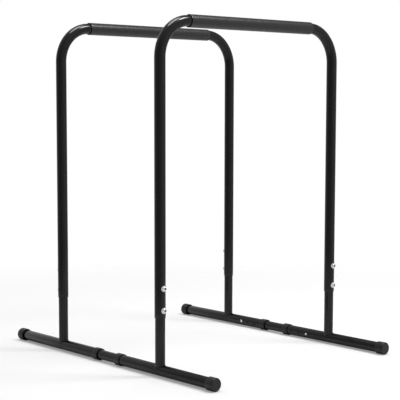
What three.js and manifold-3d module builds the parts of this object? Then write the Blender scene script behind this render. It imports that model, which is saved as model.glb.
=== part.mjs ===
// Dip station: two bent bars with foam grips, each standing on two uprights and two feet. The feet of
// the left and right frame telescope on a front and a back connector tube, and snap buttons hold the
// width. Millimetres, +Z up, floor at zero. X runs from the left bar to the right bar, and the bars
// run from front (-Y) to back (+Y). The origin is on the floor, in the middle.

import * as THREE from 'three';
import { mergeVertices } from 'three/addons/utils/BufferGeometryUtils.js';
import Module from 'manifold-3d';

const wasm = await Module();
wasm.setup();

// Driving dimensions of the whole station
const BAR_SPACING = 465; // between the two bars' centre lines, at the narrowest setting
const LEG_SPACING = 706; // between the two legs of one bar, centre to centre
const BAR_HEIGHT = 995.1; // from the floor to the bars' centre line
const BEND_RADIUS = 104; // of each bend in a bar, at its centre line
const SLEEVE_END_HEIGHT = 168.6; // from the floor to the open end of a bar's leg
const FEET_WIDTH = 929; // from the left end caps to the right ones

// Tubes: the uprights slide in the legs and the connectors in the feet, so both pairs are alike
const OUTER_TUBE_DIAMETER = 31.8;
const OUTER_TUBE_WALL = 1.2;
const INNER_TUBE_WALL = 1.5;
const SLIDING_CLEARANCE = 0.4; // all round, between the nested tubes
const UPRIGHT_INSERTION = 130; // length of an upright that is inside its leg

// Gaps
const TOUCH_GAP = 0.3; // between pieces that touch
const CUT_OVERRUN = 2; // how far a cutting body reaches past what it cuts

// Grips
const GRIP_WALL = 2.55;
const GRIP_END_MARGIN = 1; // straight tube that shows between a grip and the start of a bend
const GRIP_EDGE_ROUND = 0.9;

// End caps and collars of the feet
const CAP_WALL = 2.8; // round the foot tube
const CAP_LENGTH = 28;
const CAP_END_WALL = 4;
const CAP_END_ROUND = 3.5;
const COLLAR_WALL = 2; // round the foot tube
const COLLAR_LENGTH = 23;
const COLLAR_LIP = 4; // length of the collar's narrow mouth, in front of the foot tube's end
const COLLAR_GAP = 83; // connector that shows between the left and right collars
const RING_EDGE_ROUND = 0.8;

// Width setting: holes in the feet, and a snap button in each end of each connector
const HOLE_COUNT = 3;
const HOLE_PITCH = 32;
const HOLE_DIAMETER = 7.8;
const COLLAR_TO_FIRST_HOLE = 21.6;
const BUTTON_DIAMETER = 7;
const BUTTON_PROTRUSION = 2.8; // out of the foot tube
const BUTTON_EDGE_ROUND = 2.2;
const BUTTON_FLANGE_DIAMETER = 9.2;
const BUTTON_FLANGE_THICKNESS = 1;
const CONNECTOR_PAST_BUTTON = 25; // from the button's centre to the connector's end

// Spring behind each button: a V of strip, with its bend towards the middle of the connector
const STRIP_THICKNESS = 0.8;
const STRIP_WIDTH = 10;
const SPRING_LENGTH = 46; // from the bend to the legs' ends
const SPRING_BEND_RADIUS = 2.6; // at the middle of the strip
const SPRING_SEAT_LENGTH = 14; // flat stretch that carries the button

// Bolts through the legs, with their washers and nuts
const LOWER_BOLT_RISE = 21.5; // from the leg's end to the lower bolt
const BOLT_SPACING = 62;
const BOLT_DIAMETER = 8;
const BOLT_HOLE_CLEARANCE = 0.5; // all round the bolt
const BOLT_HEAD_DIAMETER = 14;
const BOLT_HEAD_HEIGHT = 4.4;
const BOLT_HEAD_RIM_HEIGHT = 1; // upright edge of the head, under its dome
const BOLT_HEAD_FACE_DIAMETER = 7.6; // flat round the socket
const BOLT_TIP_LENGTH = 1.5; // of the bolt past its nut
const SOCKET_ACROSS_FLATS = 5;
const SOCKET_DEPTH = 2.6;
const WASHER_DIAMETER = 17;
const WASHER_THICKNESS = 1.6;
const NUT_ACROSS_FLATS = 13;
const NUT_THICKNESS = 6.5;

// How finely round shapes are faceted
const TUBE_SIDES = 20;
const SMALL_SIDES = 12;
const BEND_STEPS = 8;
const EDGE_STEPS = 2;
const HEXAGON_SIDES = 6;

// Radii and places that follow from the driving dimensions
const outerTubeRadius = OUTER_TUBE_DIAMETER / 2;
const outerTubeBore = outerTubeRadius - OUTER_TUBE_WALL;
const innerTubeRadius = outerTubeBore - SLIDING_CLEARANCE;
const innerTubeBore = innerTubeRadius - INNER_TUBE_WALL;
const footRingBore = outerTubeRadius + TOUCH_GAP;
const capRadius = footRingBore + CAP_WALL;
const collarRadius = footRingBore + COLLAR_WALL;
const footHeight = Math.max(capRadius, collarRadius); // the thicker of the two stand on the floor
const collarEnd = COLLAR_GAP / 2;
const footTubeStart = collarEnd + COLLAR_LIP + TOUCH_GAP;
const footTubeEnd = FEET_WIDTH / 2 - CAP_END_WALL - TOUCH_GAP;
const firstHole = collarEnd + COLLAR_LENGTH + COLLAR_TO_FIRST_HOLE;
const buttonPlace = firstHole + (HOLE_COUNT - 1) * HOLE_PITCH;
const connectorHalfLength = buttonPlace + CONNECTOR_PAST_BUTTON;
const lowerBoltHeight = SLEEVE_END_HEIGHT + LOWER_BOLT_RISE;
const boltHeights = { lower: lowerBoltHeight, upper: lowerBoltHeight + BOLT_SPACING };
const uprightTop = SLEEVE_END_HEIGHT + UPRIGHT_INSERTION;
const boltHoleRadius = BOLT_DIAMETER / 2 + BOLT_HOLE_CLEARANCE;

// Places along a bolt, measured outwards from its upright's centre line
const washerInside = outerTubeRadius + TOUCH_GAP;
const boltHeadSeat = washerInside + WASHER_THICKNESS + TOUCH_GAP;
const nutSeat = Math.sqrt(innerTubeBore ** 2 - (NUT_ACROSS_FLATS / 2) ** 2) - TOUCH_GAP;
const nutBack = nutSeat - NUT_THICKNESS;

// Places along a button, measured outwards from its connector's centre line
const flangeSeat = Math.sqrt(innerTubeBore ** 2 - (BUTTON_FLANGE_DIAMETER / 2) ** 2) - TOUCH_GAP;
const buttonTop = outerTubeRadius + BUTTON_PROTRUSION;
const stripSeat = flangeSeat - BUTTON_FLANGE_THICKNESS - TOUCH_GAP;
const stripFarSide = Math.sqrt(innerTubeBore ** 2 - (STRIP_WIDTH / 2) ** 2) - TOUCH_GAP;

// Finishes
const finish = (color, roughness, metalness) =>
  new THREE.MeshStandardMaterial({ color, roughness, metalness });
const powderCoat = finish(0x262626, 0.42, 0.35);
const foam = finish(0x3c3c3c, 0.9, 0);
const blackPlastic = finish(0x1d1d1d, 0.55, 0);
const brightSteel = finish(0xcfcfcf, 0.25, 0.95);
const springSteel = finish(0x8c8f94, 0.35, 0.9);

// A round radius as the corner radius of a polygon whose flats lie on the round
const cornerRadius = (radius, sides) => radius / Math.cos(Math.PI / sides);

// Points of a regular polygon round a circle, with a flat facing each axis
function polygon(radius, sides) {
  return Array.from({ length: sides }, (_, side) => {
    const angle = ((2 * side + 1) * Math.PI) / sides;
    const corner = cornerRadius(radius, sides);
    return new THREE.Vector2(corner * Math.cos(angle), corner * Math.sin(angle));
  });
}

// A turned body on the Z axis, from [radius, height] pairs that run anticlockwise, bottom to top
// outside. A profile that leaves the axis free is closed on itself.
function turned(profile, sides = TUBE_SIDES) {
  const points = profile.map(
    ([radius, height]) => new THREE.Vector2(cornerRadius(radius, sides), height)
  );
  const onAxis = profile[0][0] === 0;
  if (!onAxis) points.push(points[0].clone());
  return new THREE.LatheGeometry(points, sides, Math.PI / sides).rotateX(Math.PI / 2);
}

// A straight tube on the Z axis
const tube = (radius, bore, bottom, top, sides) =>
  turned([[bore, bottom], [radius, bottom], [radius, top], [bore, top]], sides);

// A plain round bar on the Z axis, used for cutting
const rod = (radius, bottom, top, sides) =>
  turned([[0, bottom], [radius, bottom], [radius, top], [0, top]], sides);

// Points of a rounded outer edge, given the [radius, height] of its centre and its size across and
// along the axis. It turns a quarter from the given angle, both ends included.
function roundedEdge([radius, height], across, along, from) {
  return Array.from({ length: EDGE_STEPS + 1 }, (_, step) => {
    const angle = from + ((step / EDGE_STEPS) * Math.PI) / 2;
    return [radius + across * Math.cos(angle), height + along * Math.sin(angle)];
  });
}

// Turns a body from the Z axis onto the X axis, with its top towards +X
const alongX = (geometry) => geometry.rotateY(Math.PI / 2);

// A closed mesh as a solid that can be cut, and back
function solid(geometry) {
  const bare = geometry.clone();
  bare.deleteAttribute('normal');
  bare.deleteAttribute('uv');
  const merged = mergeVertices(bare);
  return new wasm.Manifold(
    new wasm.Mesh({
      numProp: 3,
      vertProperties: new Float32Array(merged.attributes.position.array),
      triVerts: new Uint32Array(merged.index.array),
    })
  );
}

function surface(body) {
  const mesh = body.getMesh();
  const geometry = new THREE.BufferGeometry();
  geometry.setAttribute('position', new THREE.BufferAttribute(mesh.vertProperties, 3));
  geometry.setIndex(new THREE.BufferAttribute(mesh.triVerts, 1));
  geometry.computeVertexNormals();
  return geometry;
}

// A geometry with others cut out of it
const cut = (geometry, cutters) =>
  surface(cutters.reduce((body, cutter) => body.subtract(solid(cutter)), solid(geometry)));

// The centre line of a bar: up one leg, over the top and down the other. Its parameter counts
// stations evenly, one for each straight stretch and BEND_STEPS for each bend.
class BarLine extends THREE.Curve {
  constructor() {
    super();
    const bendHeight = BAR_HEIGHT - BEND_RADIUS;
    const bendPlace = LEG_SPACING / 2 - BEND_RADIUS;
    const stations = [{ y: -LEG_SPACING / 2, z: SLEEVE_END_HEIGHT, angle: 0 }];
    for (const side of [-1, 1]) {
      for (let step = 0; step <= BEND_STEPS; step += 1) {
        const turn = ((step / BEND_STEPS) * Math.PI) / 2;
        const angle = side < 0 ? turn : Math.PI / 2 + turn;
        stations.push({
          y: side * bendPlace - BEND_RADIUS * Math.cos(angle),
          z: bendHeight + BEND_RADIUS * Math.sin(angle),
          angle,
        });
      }
    }
    stations.push({ y: LEG_SPACING / 2, z: SLEEVE_END_HEIGHT, angle: Math.PI });
    this.stations = stations;
    this.steps = stations.length - 1;
  }

  getPoint(t, target = new THREE.Vector3()) {
    const station = this.stations[Math.round(t * this.steps)];
    return target.set(0, station.y, station.z);
  }

  getTangent(t, target = new THREE.Vector3()) {
    const { angle } = this.stations[Math.round(t * this.steps)];
    return target.set(0, Math.sin(angle), Math.cos(angle));
  }

  getPointAt(u, target) {
    return this.getPoint(u, target);
  }

  getTangentAt(u, target) {
    return this.getTangent(u, target);
  }
}

// A cutter for the bolts of a leg or upright: from the centre line outwards, along +X
function boltCutters(y) {
  return Object.values(boltHeights).map((height) =>
    alongX(rod(boltHoleRadius, 0, outerTubeRadius + CUT_OVERRUN, SMALL_SIDES)).translate(0, y, height)
  );
}

// A bar's bent tube, in the plane of its own centre line, with its bolt heads on the +X side
function barGeometry() {
  const section = new THREE.Shape(polygon(outerTubeRadius, TUBE_SIDES));
  section.holes.push(new THREE.Path(polygon(outerTubeBore, TUBE_SIDES)));
  const line = new BarLine();
  const bent = new THREE.ExtrudeGeometry(section, { steps: line.steps, extrudePath: line });
  return cut(bent, [...boltCutters(-LEG_SPACING / 2), ...boltCutters(LEG_SPACING / 2)]);
}

// A foam grip on the Z axis, centred on its length, with softened end edges
function gripGeometry() {
  const halfLength = LEG_SPACING / 2 - BEND_RADIUS - GRIP_END_MARGIN;
  const bore = outerTubeRadius + TOUCH_GAP;
  const radius = bore + GRIP_WALL;
  const round = GRIP_EDGE_ROUND;
  return turned([
    [bore, -halfLength],
    ...roundedEdge([radius - round, round - halfLength], round, round, -Math.PI / 2),
    ...roundedEdge([radius - round, halfLength - round], round, round, 0),
    [bore, halfLength],
  ]);
}

// A lower upright: a tube whose bottom is shaped to sit on the foot tube, with bolt holes
function uprightGeometry() {
  const foot = alongX(
    rod(outerTubeRadius + TOUCH_GAP, -OUTER_TUBE_DIAMETER, OUTER_TUBE_DIAMETER, TUBE_SIDES)
  ).translate(0, 0, footHeight);
  return cut(tube(innerTubeRadius, innerTubeBore, footHeight, uprightTop), [foot, ...boltCutters(0)]);
}

// A foot tube on the X axis, with its button holes in the +Y side
function footTubeGeometry() {
  const places = Array.from({ length: HOLE_COUNT }, (_, hole) => firstHole + hole * HOLE_PITCH);
  const holes = places.map((place) =>
    rod(HOLE_DIAMETER / 2, 0, outerTubeRadius + CUT_OVERRUN, SMALL_SIDES)
      .rotateX(-Math.PI / 2)
      .translate(place, 0, 0)
  );
  return cut(alongX(tube(outerTubeRadius, outerTubeBore, footTubeStart, footTubeEnd)), holes);
}

// A connector tube on the X axis, with a button hole near each end in the +Y side
function connectorGeometry() {
  const holes = [-buttonPlace, buttonPlace].map((place) =>
    rod(HOLE_DIAMETER / 2, 0, innerTubeRadius + CUT_OVERRUN, SMALL_SIDES)
      .rotateX(-Math.PI / 2)
      .translate(place, 0, 0)
  );
  const length = connectorHalfLength;
  return cut(alongX(tube(innerTubeRadius, innerTubeBore, -length, length)), holes);
}

// An end cap on the X axis: a cup over the outer end of a foot tube
function capGeometry() {
  const end = FEET_WIDTH / 2;
  const mouth = end - CAP_LENGTH;
  const roundCentre = [capRadius - CAP_END_ROUND, end - CAP_END_ROUND];
  return alongX(
    turned([
      [0, end - CAP_END_WALL],
      [footRingBore, end - CAP_END_WALL],
      [footRingBore, mouth],
      [capRadius - RING_EDGE_ROUND, mouth],
      [capRadius, mouth + RING_EDGE_ROUND],
      ...roundedEdge(roundCentre, CAP_END_ROUND, CAP_END_ROUND, 0),
      [0, end],
    ])
  );
}

// A collar on the X axis: a ring over the inner end of a foot tube, whose mouth guides the connector
function collarGeometry() {
  const mouthBore = innerTubeRadius + SLIDING_CLEARANCE;
  const far = collarEnd + COLLAR_LENGTH;
  const edge = collarRadius - RING_EDGE_ROUND;
  return alongX(
    turned([
      [mouthBore, collarEnd],
      [edge, collarEnd],
      [collarRadius, collarEnd + RING_EDGE_ROUND],
      [collarRadius, far - RING_EDGE_ROUND],
      [edge, far],
      [footRingBore, far],
      [footRingBore, collarEnd + COLLAR_LIP],
      [mouthBore, collarEnd + COLLAR_LIP],
    ])
  );
}

// A snap button on the Z axis: a domed pin on a flange that stays inside the connector
function buttonGeometry() {
  const radius = BUTTON_DIAMETER / 2;
  const flangeRadius = BUTTON_FLANGE_DIAMETER / 2;
  const flangeBottom = flangeSeat - BUTTON_FLANGE_THICKNESS;
  const round = BUTTON_EDGE_ROUND;
  return turned(
    [
      [0, flangeBottom],
      [flangeRadius, flangeBottom],
      [flangeRadius, flangeSeat],
      [radius, flangeSeat],
      ...roundedEdge([radius - round, buttonTop - round], round, round, 0),
      [0, buttonTop],
    ],
    SMALL_SIDES
  );
}

// The outline of a strip of even thickness along a line of points, both sides
function stripOutline(points, thickness) {
  const sides = [1, -1].map((side) =>
    points.map((point, index) => {
      const before = points[Math.max(index - 1, 0)];
      const after = points[Math.min(index + 1, points.length - 1)];
      const along = after.clone().sub(before).normalize();
      const across = new THREE.Vector2(-along.y, along.x);
      return point.clone().addScaledVector(across, (side * thickness) / 2);
    })
  );
  return [...sides[0], ...sides[1].reverse()];
}

// A button spring: a V of strip in the XY plane. The button's leg ends in a flat seat under the
// button at the origin's X, and the other leg lies on the far wall of the connector.
function springGeometry() {
  const seatLine = stripSeat - STRIP_THICKNESS / 2;
  const farLine = stripFarSide - STRIP_THICKNESS / 2;
  const tip = SPRING_SEAT_LENGTH / 2;
  const bend = tip - SPRING_LENGTH + SPRING_BEND_RADIUS;
  const bendPoints = Array.from({ length: 2 * EDGE_STEPS + 1 }, (_, step) => {
    const angle = Math.PI / 2 + (step / (2 * EDGE_STEPS)) * Math.PI;
    return new THREE.Vector2(
      bend + SPRING_BEND_RADIUS * Math.cos(angle),
      SPRING_BEND_RADIUS * Math.sin(angle)
    );
  });
  const line = [
    new THREE.Vector2(tip, seatLine),
    new THREE.Vector2(-tip, seatLine),
    ...bendPoints,
    new THREE.Vector2(-tip, -farLine),
    new THREE.Vector2(tip, -farLine),
  ];
  const outline = new THREE.Shape(stripOutline(line, STRIP_THICKNESS));
  const strip = new THREE.ExtrudeGeometry(outline, { depth: STRIP_WIDTH, bevelEnabled: false });
  return strip.translate(0, 0, -STRIP_WIDTH / 2);
}

// A bolt on the X axis, with a domed head and a hexagon socket. The upright's centre line is at zero.
function boltGeometry() {
  const tip = nutBack - BOLT_TIP_LENGTH;
  const headTop = boltHeadSeat + BOLT_HEAD_HEIGHT;
  const rim = boltHeadSeat + BOLT_HEAD_RIM_HEIGHT;
  const radius = BOLT_DIAMETER / 2;
  const headRadius = BOLT_HEAD_DIAMETER / 2;
  const faceRadius = BOLT_HEAD_FACE_DIAMETER / 2;
  const body = turned(
    [
      [0, tip],
      [radius, tip],
      [radius, boltHeadSeat],
      [headRadius, boltHeadSeat],
      ...roundedEdge([faceRadius, rim], headRadius - faceRadius, headTop - rim, 0),
      [0, headTop],
    ],
    SMALL_SIDES
  );
  const socketRadius = SOCKET_ACROSS_FLATS / 2;
  const socket = rod(socketRadius, headTop - SOCKET_DEPTH, headTop + CUT_OVERRUN, HEXAGON_SIDES);
  return alongX(cut(body, [socket]));
}

// A curved washer that follows the leg, round the X axis
function washerGeometry() {
  const outside = washerInside + WASHER_THICKNESS;
  const reach = outside + CUT_OVERRUN;
  const shell = solid(tube(outside, washerInside, -WASHER_DIAMETER, WASHER_DIAMETER));
  const disc = solid(alongX(rod(WASHER_DIAMETER / 2, 0, reach, SMALL_SIDES)));
  const hole = solid(alongX(rod(boltHoleRadius, 0, reach, SMALL_SIDES)));
  return surface(shell.intersect(disc).subtract(hole));
}

// A hexagon nut inside the upright, on the X axis, with its corners up and down
function nutGeometry() {
  const body = rod(NUT_ACROSS_FLATS / 2, nutBack, nutSeat, HEXAGON_SIDES);
  const boreRadius = BOLT_DIAMETER / 2 + TOUCH_GAP;
  const bore = rod(boreRadius, nutBack - CUT_OVERRUN, nutSeat + CUT_OVERRUN, SMALL_SIDES);
  return alongX(cut(body, [bore]));
}

function piece(name, geometry, material) {
  const mesh = new THREE.Mesh(geometry, material);
  mesh.name = name;
  return mesh;
}

// Shapes that repeat are made once
const shapes = {
  bar: barGeometry(),
  grip: gripGeometry(),
  upright: uprightGeometry(),
  footTube: footTubeGeometry(),
  connector: connectorGeometry(),
  cap: capGeometry(),
  collar: collarGeometry(),
  button: buttonGeometry(),
  spring: springGeometry(),
  bolt: boltGeometry(),
  washer: washerGeometry(),
  nut: nutGeometry(),
};

// A bar with its grip
function barGroup(side) {
  const group = new THREE.Group();
  const grip = piece(`${side}_grip`, shapes.grip, foam);
  grip.rotation.x = Math.PI / 2;
  grip.position.z = BAR_HEIGHT;
  group.add(piece(`${side}_bar`, shapes.bar, powderCoat), grip);
  return group;
}

// An upright with its bolts, washers and nuts
function uprightGroup(corner) {
  const group = new THREE.Group();
  group.add(piece(`${corner}_upright`, shapes.upright, powderCoat));
  for (const [level, height] of Object.entries(boltHeights)) {
    const fasteners = new THREE.Group();
    fasteners.position.z = height;
    fasteners.add(
      piece(`${corner}_${level}_bolt`, shapes.bolt, brightSteel),
      piece(`${corner}_${level}_washer`, shapes.washer, brightSteel),
      piece(`${corner}_${level}_nut`, shapes.nut, springSteel)
    );
    group.add(fasteners);
  }
  return group;
}

// A foot tube with its cap and collar, with the button holes facing the user's space
function footGroup(corner, inward) {
  const group = new THREE.Group();
  group.position.z = footHeight;
  group.rotation.x = inward > 0 ? 0 : Math.PI;
  group.add(
    piece(`${corner}_foot_tube`, shapes.footTube, powderCoat),
    piece(`${corner}_end_cap`, shapes.cap, blackPlastic),
    piece(`${corner}_collar`, shapes.collar, blackPlastic)
  );
  return group;
}

// The right frame; the left frame is the same one turned half round
function frameGroup(side) {
  const facing = side === 'right' ? 1 : -1;
  const group = new THREE.Group();
  group.rotation.z = facing > 0 ? 0 : Math.PI;
  const bar = barGroup(side);
  bar.position.x = BAR_SPACING / 2;
  group.add(bar);
  for (const end of [-1, 1]) {
    const corner = `${end * facing < 0 ? 'front' : 'back'}_${side}`;
    const upright = uprightGroup(corner);
    upright.position.set(BAR_SPACING / 2, (end * LEG_SPACING) / 2, 0);
    const foot = footGroup(corner, -end);
    foot.position.y = (end * LEG_SPACING) / 2;
    group.add(upright, foot);
  }
  return group;
}

// A connector with a snap button and its spring at each end, facing the user's space
function connectorGroup(end) {
  const inward = end === 'front' ? 1 : -1;
  const group = new THREE.Group();
  group.position.set(0, (-inward * LEG_SPACING) / 2, footHeight);
  group.rotation.x = inward > 0 ? 0 : Math.PI;
  group.add(piece(`${end}_connector`, shapes.connector, powderCoat));
  for (const [side, way] of [['left', -1], ['right', 1]]) {
    const button = piece(`${end}_${side}_snap_button`, shapes.button, brightSteel);
    button.rotation.x = -Math.PI / 2;
    button.position.x = way * buttonPlace;
    const spring = piece(`${end}_${side}_button_spring`, shapes.spring, springSteel);
    const turn = new THREE.Group();
    turn.rotation.y = way > 0 ? 0 : Math.PI;
    turn.position.x = way * buttonPlace;
    turn.add(spring);
    group.add(button, turn);
  }
  return group;
}

const group = new THREE.Group();
group.add(frameGroup('left'), frameGroup('right'), connectorGroup('front'), connectorGroup('back'));

export default group;
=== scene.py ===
"""Looks of a dip station: two bent bars with foam grips, on telescoping feet.

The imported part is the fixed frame. Each sub-assembly here takes its place from that frame, models the
fine form of its pieces and gives each of them its finish. Lengths are in metres.
"""

import logging
import math
from abc import ABC, abstractmethod
from collections.abc import Callable, Iterator, Sequence
from contextlib import contextmanager
from dataclasses import dataclass
from enum import Enum

import bpy
from mathutils import Matrix, Vector


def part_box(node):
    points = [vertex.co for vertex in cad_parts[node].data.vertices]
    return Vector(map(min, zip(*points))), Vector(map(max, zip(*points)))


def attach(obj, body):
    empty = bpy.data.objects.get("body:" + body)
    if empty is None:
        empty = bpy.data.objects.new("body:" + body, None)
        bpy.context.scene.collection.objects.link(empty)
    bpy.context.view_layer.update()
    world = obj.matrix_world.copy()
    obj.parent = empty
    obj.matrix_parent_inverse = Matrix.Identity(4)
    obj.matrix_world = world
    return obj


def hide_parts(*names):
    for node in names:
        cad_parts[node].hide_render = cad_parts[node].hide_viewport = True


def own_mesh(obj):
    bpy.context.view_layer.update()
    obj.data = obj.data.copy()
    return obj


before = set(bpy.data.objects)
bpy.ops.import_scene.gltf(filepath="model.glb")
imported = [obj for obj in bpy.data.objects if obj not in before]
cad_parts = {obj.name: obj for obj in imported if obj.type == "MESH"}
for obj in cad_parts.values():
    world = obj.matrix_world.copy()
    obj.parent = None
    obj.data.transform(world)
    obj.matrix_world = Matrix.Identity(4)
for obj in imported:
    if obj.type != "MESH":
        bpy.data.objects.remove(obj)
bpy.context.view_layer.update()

Pair = tuple[float, float]
Colour = tuple[float, float, float]
Socket = bpy.types.NodeSocket
Relief = list[tuple[Socket, float]]

WHITE = (1, 1, 1, 1)
HALF_TURN = math.pi
QUARTER_TURN = math.pi / 2
NO_TURN = Matrix.Identity(4)
TO_X = Matrix.Rotation(QUARTER_TURN, 4, "Y")
TO_Y = Matrix.Rotation(-QUARTER_TURN, 4, "X")
ABOUT_FACE = Matrix.Rotation(HALF_TURN, 4, "Z")
UPSIDE_DOWN = Matrix.Rotation(HALF_TURN, 4, "X")

WELD_DISTANCE = 1e-6
HEXAGON_SIDES = 6
DRILL_SIDES = 48
EDGE_STEPS = 5
DOME_STEPS = 8
ROUNDING_SEGMENTS = 2
RIM_DEGREES = 60.0
EDGE_DEGREES = 50.0
SMOOTH_DEGREES = 35.0

log = logging.getLogger("dip_station")


class Ends(Enum):
    """How the first and last ring of a turned shape are finished."""

    CAPPED = "capped"
    OPEN = "open"
    WELDED = "welded"


class Cut(Enum):
    """Which part of a piece is left by a cut: what is outside the tool, or what is inside it."""

    TAKE_AWAY = "DIFFERENCE"
    KEEP_COMMON = "INTERSECT"


class Grow(Enum):
    """Where a sheet's thickness goes: to the side that its faces turn away from, or to both sides."""

    INWARDS = -1
    BOTH_WAYS = 0


class Slot(Enum):
    """Material slots of the part's record."""

    POWDER_COAT = "powder_coat"
    FOAM_GRIP = "foam_grip"
    BLACK_PLASTIC = "black_plastic"
    BRIGHT_STEEL = "bright_steel"
    SPRING_STEEL = "spring_steel"


class End(Enum):
    """The front or the back of the station, as in the names of the frame's nodes."""

    FRONT = "front"
    BACK = "back"

    @property
    def inward(self) -> int:
        """The way towards the user's space, along Y."""
        return 1 if self is End.FRONT else -1


class Side(Enum):
    """The left or the right of the station, as in the names of the frame's nodes."""

    LEFT = "left"
    RIGHT = "right"

    @property
    def outward(self) -> int:
        """The way out of the station, along X."""
        return 1 if self is Side.RIGHT else -1

    @property
    def body(self) -> str:
        """The body of the frame on this side."""
        return f"{self.value}_frame"


class Level(Enum):
    """The lower or the upper bolt of a leg, as in the names of the frame's nodes."""

    LOWER = "lower"
    UPPER = "upper"


@dataclass(frozen=True)
class Corner:
    """One of the four corners where an upright stands on a foot."""

    end: End
    side: Side

    def name(self, word: str) -> str:
        """The name of a node, body or piece at this corner."""
        return f"{self.end.value}_{self.side.value}_{word}"


CORNERS = [Corner(end, side) for side in Side for end in End]
MODEL_CORNER = Corner(End.FRONT, Side.RIGHT)


def deselect_all() -> None:
    """Deselects every object."""
    bpy.ops.object.select_all(action="DESELECT")


def make_active(piece: bpy.types.Object) -> None:
    """Selects one piece alone and makes it the active one.

    Args:
        piece: the piece.
    """
    deselect_all()
    piece.select_set(True)
    bpy.context.view_layer.objects.active = piece


@contextmanager
def editing(piece: bpy.types.Object) -> Iterator[None]:
    """Keeps a piece in edit mode for the length of a with block.

    Args:
        piece: the piece.

    Returns:
        The block's context, which holds no value.
    """
    make_active(piece)
    bpy.ops.object.mode_set(mode="EDIT")
    try:
        yield
    finally:
        bpy.ops.object.mode_set(mode="OBJECT")


def placed(piece: bpy.types.Object, place: Matrix) -> bpy.types.Object:
    """Moves a piece to its place, and leaves its object at the origin.

    Args:
        piece: the piece, modelled about the origin.
        place: its turn and place.

    Returns:
        The piece, with its place in its mesh.
    """
    piece.matrix_world = place
    make_active(piece)
    bpy.ops.object.transform_apply(location=True, rotation=True, scale=True)
    return piece


def copied(source: bpy.types.Object, name: str, place: Matrix) -> bpy.types.Object:
    """Copies a piece with a mesh of its own.

    Args:
        source: the finished piece.
        name: the copy's name.
        place: how the copy is turned and moved from the source's place.

    Returns:
        The copy, with its place in its mesh.
    """
    twin = source.copy()
    twin.data = source.data.copy()
    twin.name = twin.data.name = name
    bpy.context.scene.collection.objects.link(twin)
    return placed(twin, place)


def discard(*pieces: bpy.types.Object) -> None:
    """Removes tools and models that have served, with their meshes.

    Args:
        pieces: what is removed.
    """
    for piece in pieces:
        mesh = piece.data
        bpy.data.objects.remove(piece)
        bpy.data.meshes.remove(mesh)


def ring(name: str, radius: float, sides: int, height: float, filled: bool) -> bpy.types.Object:
    """Starts a piece as a level ring of edges round the Z axis.

    Args:
        name: the piece's name.
        radius: the ring's radius.
        sides: how many edges go round.
        height: how high the ring is.
        filled: whether a face closes it.

    Returns:
        The new piece, with its place in its mesh.
    """
    deselect_all()
    fill = "NGON" if filled else "NOTHING"
    bpy.ops.mesh.primitive_circle_add(vertices=sides, radius=radius, fill_type=fill)
    piece = bpy.context.object
    piece.name = piece.data.name = name
    return placed(piece, Matrix.Translation((0, 0, height)))


def extrude(offset: Vector) -> None:
    """Extrudes what is selected in edit mode by an offset."""
    bpy.ops.mesh.extrude_region_move(TRANSFORM_OT_translate={"value": offset})


def face_outwards(piece: bpy.types.Object) -> None:
    """Merges a shape's doubled points and turns its faces outwards.

    Args:
        piece: the piece.
    """
    with editing(piece):
        bpy.ops.mesh.select_all(action="SELECT")
        bpy.ops.mesh.remove_doubles(threshold=WELD_DISTANCE)
        bpy.ops.mesh.normals_make_consistent(inside=False)


def select_points(piece: bpy.types.Object, wanted: Callable[[Vector], bool]) -> None:
    """Selects some points of a piece, and no others.

    Args:
        piece: the piece.
        wanted: tells of a point's place whether the point is selected.
    """
    mesh = piece.data
    for element in (*mesh.vertices, *mesh.edges, *mesh.polygons):
        element.select = False
    for vertex in mesh.vertices:
        vertex.select = wanted(vertex.co)


def apply_modifiers(piece: bpy.types.Object) -> None:
    """Applies every modifier of a piece, in order.

    Args:
        piece: the piece.
    """
    make_active(piece)
    for name in [modifier.name for modifier in piece.modifiers]:
        bpy.ops.object.modifier_apply(modifier=name)


def thicken(piece: bpy.types.Object, thickness: float, way: Grow, even: bool = True) -> None:
    """Gives a sheet its thickness, as a modifier.

    Args:
        piece: the sheet.
        thickness: how thick it gets.
        way: where the thickness goes.
        even: whether it stays full at the sheet's bends.
    """
    modifier = piece.modifiers.new("thickness", "SOLIDIFY")
    modifier.thickness = thickness
    modifier.offset = way.value
    modifier.use_even_offset = even


def round_edges(piece: bpy.types.Object, width: float, sharp_degrees: float) -> None:
    """Rounds the sharp edges of a piece, and applies all its modifiers.

    Args:
        piece: the piece.
        width: how far each edge is rounded.
        sharp_degrees: the least angle between faces whose edge is rounded.
    """
    rounding = piece.modifiers.new("rounding", "BEVEL")
    rounding.width = width
    rounding.segments = ROUNDING_SEGMENTS
    rounding.limit_method = "ANGLE"
    rounding.angle_limit = math.radians(sharp_degrees)
    apply_modifiers(piece)


def shade_smooth(piece: bpy.types.Object, sharp_degrees: float = SMOOTH_DEGREES) -> None:
    """Shades a piece smooth, apart from its sharp edges."""
    make_active(piece)
    bpy.ops.object.shade_smooth_by_angle(angle=math.radians(sharp_degrees))


def arc(centre: Pair, size: Pair, start: float, stop: float, steps: int) -> list[Pair]:
    """Points of an arc in a profile.

    Args:
        centre: the arc's centre, as radius and height.
        size: the arc's half widths across and along the axis.
        start: the angle of the first point, from straight outwards.
        stop: the angle of the last point.
        steps: how many stretches it has.

    Returns:
        The points, both ends included.
    """
    angles = [start + (stop - start) * step / steps for step in range(steps + 1)]
    return [
        (centre[0] + size[0] * math.cos(angle), centre[1] + size[1] * math.sin(angle))
        for angle in angles
    ]


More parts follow.
